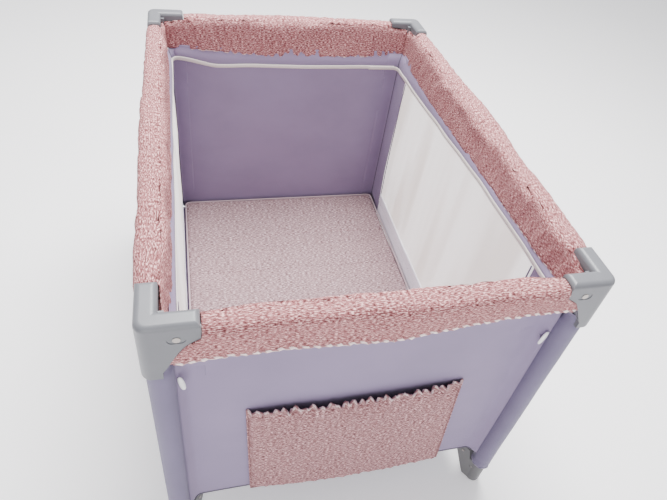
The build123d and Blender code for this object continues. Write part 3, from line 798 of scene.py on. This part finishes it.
def make_wall(name, is_side, sign, post, seed):
    """One wall with its piping, its zipper tape and, at the sides, its mesh window."""
    rows = np.linspace(WALL_LOW, WALL_TOP, 84)
    if is_side:
        for level in (MESH_LOW, MESH_TOP):
            rows[np.argmin(np.abs(rows - level))] = level
    points, s, z, along = wall_grid(is_side, sign, seed, rows)
    length = s[-1, 0]
    uv = np.stack([s, z], axis=2)

    def in_window(i, j):
        spot = (s[i, 0] + s[i + 1, 0]) / 2
        level = (rows[j] + rows[j + 1]) / 2
        inside = MESH_SIDE + 0.03 < spot < length - MESH_SIDE - 0.03
        return inside and MESH_LOW < level < MESH_TOP

    cloth = grid_sheet(f"{name}_cloth", points, uv, LILAC, in_window if is_side else None)
    thicken(cloth, CLOTH, 0.0)
    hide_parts(name)
    area = length * (WALL_TOP - WALL_LOW)
    if is_side:
        area -= (length - 2 * MESH_SIDE - 0.06) * (MESH_TOP - MESH_LOW)
    shared_fold(cloth, is_side, post)

    inward = -sign * (CLOTH / 2 + 0.001)
    shift = np.array((inward, 0, 0) if is_side else (0, inward, 0))
    pieces = []
    bottom = points[2:-2, 0] + np.array((0, 0, 0.0005))
    pieces.append(tube_along(f"{name}_piping", bottom, 0.0024, PIPING, 8))
    for side_name, column in (("start", 3), ("end", -4)):
        seam = points[column, 1:74] + shift * 0.8
        pieces.append(tube_along(f"{name}_seam_{side_name}", seam, 0.0007, PIPING, 6))
    near = int(np.argmin(np.abs(rows - TAPE_Z)))
    ribbon = np.stack([points[4:-4, near] + shift * 1.2] * 4, axis=1)
    for column, (level, stand) in enumerate(((-1, 0.0), (-0.35, 0.25), (0.35, 0.25), (1, 0.0))):
        line = TAPE_Z + zip_rise(along[4:-4], is_side, sign)
        ribbon[:, column, 2] = line + level * TAPE_HALF + 0.0018 * noise1(s[4:-4, 0] / 0.08, seed + 9)
        ribbon[:, column] += shift * stand
    width = np.array((-1, -0.35, 0.35, 1)) * TAPE_HALF
    tape_uv = np.stack([s[4:-4, :4], np.repeat(width[None, :], len(ribbon), axis=0)], axis=2)
    tape = thicken(grid_sheet(f"{name}_zipper_tape", ribbon, tape_uv, TAPE), 0.0012, 0.0)
    pieces.append(tape)
    for piece in pieces:
        shared_fold(piece, is_side, post)
    if is_side:
        levels = np.linspace(WALL_LOW + 0.004, BAND_TOP, 10)
        band_points, band_s, band_z, _ = wall_grid(is_side, sign, seed, levels)
        below = (band_s[:, 0] > MESH_SIDE + 0.02) & (band_s[:, 0] < length - MESH_SIDE - 0.02)
        band_points = band_points[below] + shift * 2.0
        band_uv = np.stack([band_s[below], band_z[below]], axis=2)
        band = thicken(grid_sheet(f"{name}_lower_band", band_points, band_uv, PALE_LILAC), 0.0008, 0.0)
        shared_fold(band, is_side, post)
        mesh_window(name, is_side, sign, post, seed)


def corner_strip(name, corner, low, high, reach, radius, inset, material):
    """A strip that turns from one wall to the next in an inside corner, held by the post."""
    sign_x, sign_y = CORNERS[corner]
    x, y = WALL_X - inset, WALL_Y - inset
    line, distance = rounded_path([(x - reach, y + 0.0008), (x, y), (x + 0.0008, y - reach)], (radius,), 0.004)
    levels = np.linspace(low, high, max(4, int((high - low) / 0.02)))
    points = np.zeros((len(line), len(levels), 3))
    points[:, :, 0] = sign_x * line[:, :1]
    points[:, :, 1] = sign_y * line[:, 1:]
    on_end = np.arange(len(line)) < len(line) // 2
    end_rise = zip_rise(sign_x * line[:, 0], False, sign_y)
    rise = np.where(on_end, end_rise, zip_rise(sign_y * line[:, 1], True, sign_x))
    is_tape = material is TAPE
    points[:, :, 2] = levels[None, :] + rise[:, None] * is_tape
    turn_out = TURN_OUT * ease((points[:, :, 2] - 0.640) / 0.025) * (not is_tape)
    points[:, :, 0] += sign_x * turn_out
    points[:, :, 1] += sign_y * turn_out
    uv = np.stack(np.meshgrid(distance, levels, indexing="ij"), axis=2)
    strip = thicken(grid_sheet(f"{name}_{corner}", points, uv, material), 0.0012, 0.0)
    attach(strip, f"post_{corner}")
    if not is_tape:
        fold_line = points[len(line) // 2] - (sign_x * 0.0012, sign_y * 0.0012, 0)
        seam = tube_along(f"{name}_seam_{corner}", fold_line, 0.0012, PIPING, 6)
        wear(seam, f"post_{corner}")


def mesh_window(name, is_side, sign, post, seed):
    """The net in a side wall, with soft upright folds near its far end."""
    rows = np.linspace(MESH_LOW - 0.006, MESH_TOP + 0.004, 50)
    points, s, z, along = wall_grid(is_side, sign, seed, rows)
    keep = (s[:, 0] > MESH_SIDE + 0.018) & (s[:, 0] < s[-1, 0] - MESH_SIDE - 0.018)
    points, s, z, along = points[keep], s[keep], z[keep], along[keep]
    upright = gather(along[:, None] + 0.03 * (z - 0.4), 0.045, seed + 12)
    near_back = ease((along[:, None] + 0.15) / 0.5)
    border = np.clip(np.minimum(z - MESH_LOW, MESH_TOP - z) / 0.08, 0, 1)
    points[:, :, 0] += -sign * (CLOTH * 0.9 + 0.0034 * upright * near_back * ramp(border))
    net = grid_sheet(f"{name}_net", points, np.stack([s, z], axis=2), NET)
    thicken(net, 0.0007, 0.0)
    side = "right" if sign > 0 else "left"
    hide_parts(f"mesh_window_{side}")
    shared_fold(net, is_side, post)
    frame_path = []
    low, high = MESH_LOW, MESH_TOP - 0.004
    picks = [(1, level) for level in np.linspace(high, low, 40)]
    picks += [(i, low) for i in range(1, len(points) - 1)]
    picks += [(len(points) - 2, level) for level in np.linspace(low, high, 40)]
    for i, level in picks:
        base = points[i, int(np.argmin(np.abs(rows - level)))].copy()
        base[2] = warp(level, base[1], is_side, sign)
        base[0] -= sign * 0.0008
        frame_path.append(base)
    border_tube = tube_along(f"{name}_net_binding", frame_path, 0.0018, SHADED_LILAC, 6)
    shared_fold(border_tube, is_side, post)


def leg_sleeve(corner, sign_x, sign_y, seed):
    """The sleeve round a leg, with an overlocked top and bottom."""
    levels = np.linspace(SLEEVE_LOW, SLEEVE_TOP, 110)
    angle = np.linspace(0, 2 * math.pi, 40, endpoint=False)
    a = angle[None, :] + 0 * levels[:, None]
    z = levels[:, None] + 0 * a
    end = np.minimum(z - SLEEVE_LOW, SLEEVE_TOP - z)
    radius = SLEEVE_RADIUS + 0.0007 * noise2(a * 1.9, z / 0.09, seed) * np.cos(a / 2) ** 2
    radius += 0.0010 * np.exp(-end / 0.02) * np.sin(z / 0.0042 + 2 * np.sin(a + seed))
    radius += 0.0008 * np.exp(-(end / 0.004) ** 2)
    radius -= 0.0036 * ease((z - BRACKET_TIP + 0.008) / 0.010)
    x = sign_x * POST_X + radius * np.cos(a)
    y = sign_y * POST_Y + radius * np.sin(a)
    points = np.stack([x, y, z], axis=2)
    uv = np.stack([a * SLEEVE_RADIUS, z], axis=2)
    sleeve = grid_sheet(f"leg_sleeve_{corner}", points, uv, SHADED_LILAC, closed=True)
    thicken(sleeve, CLOTH, -1.0)
    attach(sleeve, f"post_{corner}")
    for place, row in (("top", -1), ("bottom", 0)):
        ring = points[row]
        ring = np.concatenate([ring, ring[:2]])
        band = tube_along(f"sleeve_{place}_{corner}", ring, 0.0014, WALL_OVERLOCK, 6, 0.004, 0.35)
        wear(band, f"post_{corner}")


def floor_cloth():
    """The floor cloth under the mattress, in four quarters that follow the bars."""
    high = np.array(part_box("floor_cloth")[1])
    grid = np.linspace(0, 1, 40)
    first = None
    for corner, (sign_x, sign_y) in CORNERS.items():
        x = sign_x * high[0] * grid[:, None] + 0 * grid[None, :]
        y = sign_y * high[1] * grid[None, :] + 0 * grid[:, None]
        z = high[2] + 0.0004 * noise2(x / 0.1, y / 0.1, 71)
        points = np.stack([x, y, z], axis=2)
        quarter = grid_sheet(f"floor_cloth_{corner}", points, np.stack([x, y], axis=2), LILAC)
        thicken(quarter, CLOTH, 0.0)
        first = first or quarter
        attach(quarter, f"bar_{corner}")
        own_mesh(quarter)
    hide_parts("floor_cloth")


# ---------------------------------------------------------------- pocket
def pocket():
    """The outside pocket: a gathered cloth that stands off the wall, with a ruffled elastic top."""
    left, right = POCKET_LOW[0], POCKET_HIGH[0]
    low, high = POCKET_LOW[2] - 0.010, POCKET_HIGH[2] + 0.018
    back = float(POCKET_HIGH[1])
    columns = np.linspace(0, 1, 150)
    rows = np.linspace(0, 1, 84)
    u = columns[:, None] + 0 * rows[None, :]
    v = rows[None, :] + 0 * u
    x = left + (right - left) * u + (1 - v) * (0.008 + 0.016 * u) - 0.006 * v
    z = low + (high - low) * v - 0.010 * (1 - v) * np.clip(u, 0, 1)
    across = np.clip(np.sin(math.pi * u), 0, 1)
    stand = 0.0065 + 0.0125 * across ** 0.5 * (0.85 + 0.15 * v)
    stand *= ease(np.minimum(u, 1 - u) / 0.02)
    stand *= np.sqrt(np.clip(v / 0.035, 0, 1)) * 0.9 + 0.1
    top_fade = np.exp(-(1 - v) / 0.20)
    bottom_fade = np.exp(-v / 0.12)
    fold = gather(x, 0.017, 81) * 0.0050 * top_fade * (0.45 + 0.55 * across)
    fold += gather(x + 0.06 * (1 - v), 0.036, 84) * 0.0062 * (0.12 + 0.88 * np.exp(-(1 - v) / 0.32))
    fold += gather(x, 0.022, 87) * 0.0022 * bottom_fade
    fold += 0.0022 * noise2(x / 0.05, z / 0.09, 88)
    edge = ease(np.minimum(u, 1 - u) / 0.035)
    y = back - stand - fold * edge
    elastic = np.clip((v - 0.955) / 0.045, 0, 1)
    y += 0.0035 * np.exp(-(((v - 0.955) / 0.012) ** 2)) * edge
    y -= 0.0022 * np.sin(x / 0.0026 + 2 * noise1(x / 0.03, 90)) * ramp(elastic) * edge
    z = z - 0.010 * across * v * 0.4
    y = np.minimum(y, back - 0.0012)
    points = np.stack([x, y, z], axis=2)
    uv = np.stack([x * 1.06, z], axis=2)
    cloth = thicken(grid_sheet("pocket_cloth", points, uv, POCKET_ROSE), 0.0018, 1.0)
    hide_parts("front_pocket")
    hem = tube_along("pocket_hem", points[:, -1], 0.0022, POCKET_THREAD, 8, 0.0060, 0.45)
    binding = [points[0, k] for k in range(len(rows) - 1, -1, -1)]
    binding += [points[k, 0] for k in range(1, len(columns))]
    binding += [points[-1, k] for k in range(1, len(rows))]
    edge_band = tube_along("pocket_edge", np.array(binding) - (0, 0.0008, 0), 0.0017, POCKET_ROSE, 6)
    for piece in (cloth, hem, edge_band):
        shared_fold(piece, False, "front_left")


def toggles():
    """Oval toggles on a short dark cord beside each front leg; the cord is partly the toggle's tab and partly
    painted shade of the gathered cloth round it.
    """
    for side, sign in (("left", -1), ("right", 1)):
        low, high = (np.array(v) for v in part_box(f"toggle_{side}"))
        spot, half = (low + high) / 2, (high - low) / 2
        loop = [spot + (sign * 0.003, 0.006, 0), (sign * 0.3265, -0.4925, float(spot[2]))]
        spot = np.array((sign * TOGGLE_SPOT[0], TOGGLE_SPOT[1], float(spot[2]) + 0.004))
        # Partly painted shade: a dark cord that stands for the toggle's tab and for the shade of the gathered
        # cloth beside it.
        cord_and_painted_shade = tube_along(f"toggle_{side}_loop", np.linspace(loop[0], loop[1], 6), 0.0016, WALL_OVERLOCK, 8)
        wear(cord_and_painted_shade, f"post_front_{side}")
        a = np.linspace(0, 2 * math.pi, 28, endpoint=False)
        b = np.linspace(-math.pi / 2, math.pi / 2, 15)
        ring = np.sign(np.cos(b)) * np.abs(np.cos(b)) ** 0.7
        x = spot[0] + half[0] * ring[:, None] * np.cos(a)[None, :]
        y = spot[1] + half[1] * ring[:, None] * np.sin(a)[None, :]
        z = spot[2] + half[2] * np.sin(b)[:, None] + 0 * x
        lean = (z - spot[2]) * 0.16
        points = np.stack([x + sign * lean, y, z], axis=2)
        oval = grid_sheet(f"toggle_{side}_oval", points, np.stack([x, z], axis=2), TOGGLE_PLASTIC, closed=True)
        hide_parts(f"toggle_{side}")
        wear(oval, f"post_front_{side}")


# ---------------------------------------------------------------- mattress
def mattress_panel(index):
    """One panel of the mattress: a thin pad with crowned faces and rounded outer edges."""
    low, high = (np.array(v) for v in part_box(f"mattress_panel_{index}"))
    first, last = index == 1, index == 4
    nx, ny = 110, 90
    u, v = np.meshgrid(np.linspace(-1, 1, nx), np.linspace(0, 1, ny), indexing="ij")
    gap = 0.0003
    y0, y1 = low[1] - (0 if first else gap), high[1] + (0 if last else gap)
    x = u * high[0]
    y = y0 + (y1 - y0) * v
    edge_x = high[0] - np.abs(x)
    round_x = np.clip(1 - edge_x / 0.011, 0, 1)
    end = np.full_like(x, 1.0)
    if first:
        end = np.minimum(end, (y - low[1]) / 0.011)
    if last:
        end = np.minimum(end, (high[1] - y) / 0.011)
    round_y = np.clip(1 - end, 0, 1)
    drop = 1 - np.sqrt(np.clip(1 - np.clip(np.hypot(round_x, round_y), 0, 1) ** 2, 0, 1))
    half = (high[2] - low[2]) / 2
    seam = np.zeros_like(x)
    if not first:
        seam += np.exp(-(((y - low[1]) / 0.006) ** 2))
    if not last:
        seam += np.exp(-(((high[1] - y) / 0.006) ** 2))
    crease = 0.0048 * np.exp(-np.abs((y - 0.277 - 0.009 * noise1(x / 0.16, 5)) / 0.0055))
    crease += 0.0044 * np.exp(-np.abs((y - 0.134 - 0.011 * noise1(x / 0.19, 6)) / 0.0055))
    diagonal = (y - 0.373) + 0.275 * (x - 0.173)
    crease += 0.0038 * np.exp(-np.abs(diagonal / 0.007)) * np.clip((x - 0.06) / 0.12, 0, 1)
    dune = 0.0013 * noise2(x / 0.13, y / 0.11, 61) + 0.0006 * noise2(x / 0.04, y / 0.05, 62)
    top = (high[2] - 0.0022) - half * drop - 0.0014 * seam - crease + dune * (1 - drop)
    bottom = low[2] + half * drop + 0 * x
    upper = np.stack([x, y, top], axis=2)
    lower = np.stack([x, y, bottom], axis=2)
    count = nx * ny
    vertices = np.concatenate([upper.reshape(-1, 3), lower.reshape(-1, 3)])
    faces = []
    for i in range(nx - 1):
        for j in range(ny - 1):
            a, b, c, d = i * ny + j, (i + 1) * ny + j, (i + 1) * ny + j + 1, i * ny + j + 1
            faces.append((a, b, c, d))
            faces.append((d + count, c + count, b + count, a + count))
    rim = [i * ny for i in range(nx)] + [(nx - 1) * ny + j for j in range(1, ny)]
    rim += [i * ny + ny - 1 for i in range(nx - 2, -1, -1)] + [j for j in range(ny - 2, 0, -1)]
    for a, b in zip(rim, rim[1:] + rim[:1]):
        faces.append((b, a, a + count, b + count))
    uv = np.concatenate([np.stack([x, y], axis=2).reshape(-1, 2)] * 2)
    pad = make_object(f"mattress_{index}", vertices, faces, uv, MATTRESS_ROSE)
    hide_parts(f"mattress_panel_{index}")
    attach(pad, f"mattress_{index}")
    reach_x = high[0] - 0.0015
    if first or last:
        inner, outer = (high[1], low[1] + 0.0015) if first else (low[1], high[1] - 0.0015)
        outline = [(-reach_x, inner), (-reach_x, outer), (reach_x, outer), (reach_x, inner)]
        line, _ = rounded_path(outline, (0.012, 0.012), 0.006)
        lines = [line]
    else:
        lines = [np.array([(sx * reach_x, yy) for yy in np.linspace(low[1], high[1], 40)]) for sx in (-1, 1)]
    for number, line in enumerate(lines):
        level = np.full(len(line), (low[2] + high[2]) / 2 + half * 0.74)
        path = np.column_stack([line, level])
        piping = tube_along(f"mattress_piping_{index}_{number}", path, 0.0021, MATTRESS_EDGE, 8)
        wear(piping, f"mattress_{index}")


# ---------------------------------------------------------------- camera, floor and light
def camera():
    """The camera at the photograph's viewing angle."""
    data = bpy.data.cameras.new("camera")
    data.lens = 30.209
    data.sensor_width = 36
    data.shift_x = -0.0178
    data.shift_y = -0.0407
    obj = bpy.data.objects.new("camera", data)
    obj.location = (-0.2903, -1.0053, 1.3803)
    obj.rotation_euler = Euler([math.radians(a) for a in (48.195, -7.625, -13.314)], "XYZ")
    bpy.context.scene.collection.objects.link(obj)
    bpy.context.scene.camera = obj


def floor_and_light():
    """A plain pale floor and soft studio light."""
    floor = make_object(
        "studio_floor", [(-8, -8, 0), (8, -8, 0), (8, 8, 0), (-8, 8, 0)], [(0, 1, 2, 3)], None, None, False
    )
    material, tree, shader = new_material("pale_floor", (0.95, 0.94, 0.94), 0.6, 0.2)
    tone = noise_node(tree, scaled_place(tree, "Object", (1, 1, 1)), 0.7, 3.0)
    color = color_ramp(tree, tone, [(0.3, (0.93, 0.92, 0.925)), (0.7, (0.96, 0.95, 0.95))])
    tree.links.new(color, shader.inputs["Base Color"])
    shader.inputs["Emission Color"].default_value = (1, 0.985, 0.98, 1)
    shader.inputs["Emission Strength"].default_value = 0.22
    floor.data.materials.append(material)
    world = bpy.data.worlds.new("studio")
    bpy.context.scene.world = world
    world.use_nodes = True
    world.node_tree.nodes["Background"].inputs["Color"].default_value = (0.93, 0.94, 1.0, 1)
    world.node_tree.nodes["Background"].inputs["Strength"].default_value = 0.9
    for name, place, target, size, power in (
        ("key", (-1.0, -3.0, 1.1), (0, 0, 0.4), 1.8, 50),
        ("top", (0.35, 0.9, 3.0), (0, 0, 0.2), 1.8, 290),
        ("fill", (2.2, -1.8, 1.4), (0, 0, 0.4), 1.6, 6),
    ):
        lamp = bpy.data.lights.new(name, "AREA")
        lamp.size = size
        lamp.energy = power
        obj = bpy.data.objects.new(name, lamp)
        obj.location = place
        obj.rotation_euler = (Vector(target) - Vector(place)).to_track_quat("-Z", "Y").to_euler()
        bpy.context.scene.collection.objects.link(obj)


camera()
floor_and_light()
dress_cad_nodes()
rail_covers()
for number, (wall_name, (side_wall, wall_sign, wall_post)) in enumerate(WALLS.items()):
    make_wall(wall_name, side_wall, wall_sign, wall_post, 100 + 20 * number)
for number, (corner_name, (corner_x, corner_y)) in enumerate(CORNERS.items()):
    leg_sleeve(corner_name, corner_x, corner_y, 200 + number)
for corner_name in CORNERS:
    corner_strip("corner_lining", corner_name, WALL_LOW + 0.01, WALL_TOP - 0.006, 0.040, 0.006, 0.0016, LILAC)
for corner_name in ("back_right", "back_left"):
    corner_strip("corner_tape", corner_name, TAPE_Z - TAPE_HALF, TAPE_Z + TAPE_HALF, 0.090, 0.014, 0.0046, TAPE)
floor_cloth()
pocket()
toggles()
for panel_number in range(1, 5):
    mattress_panel(panel_number)
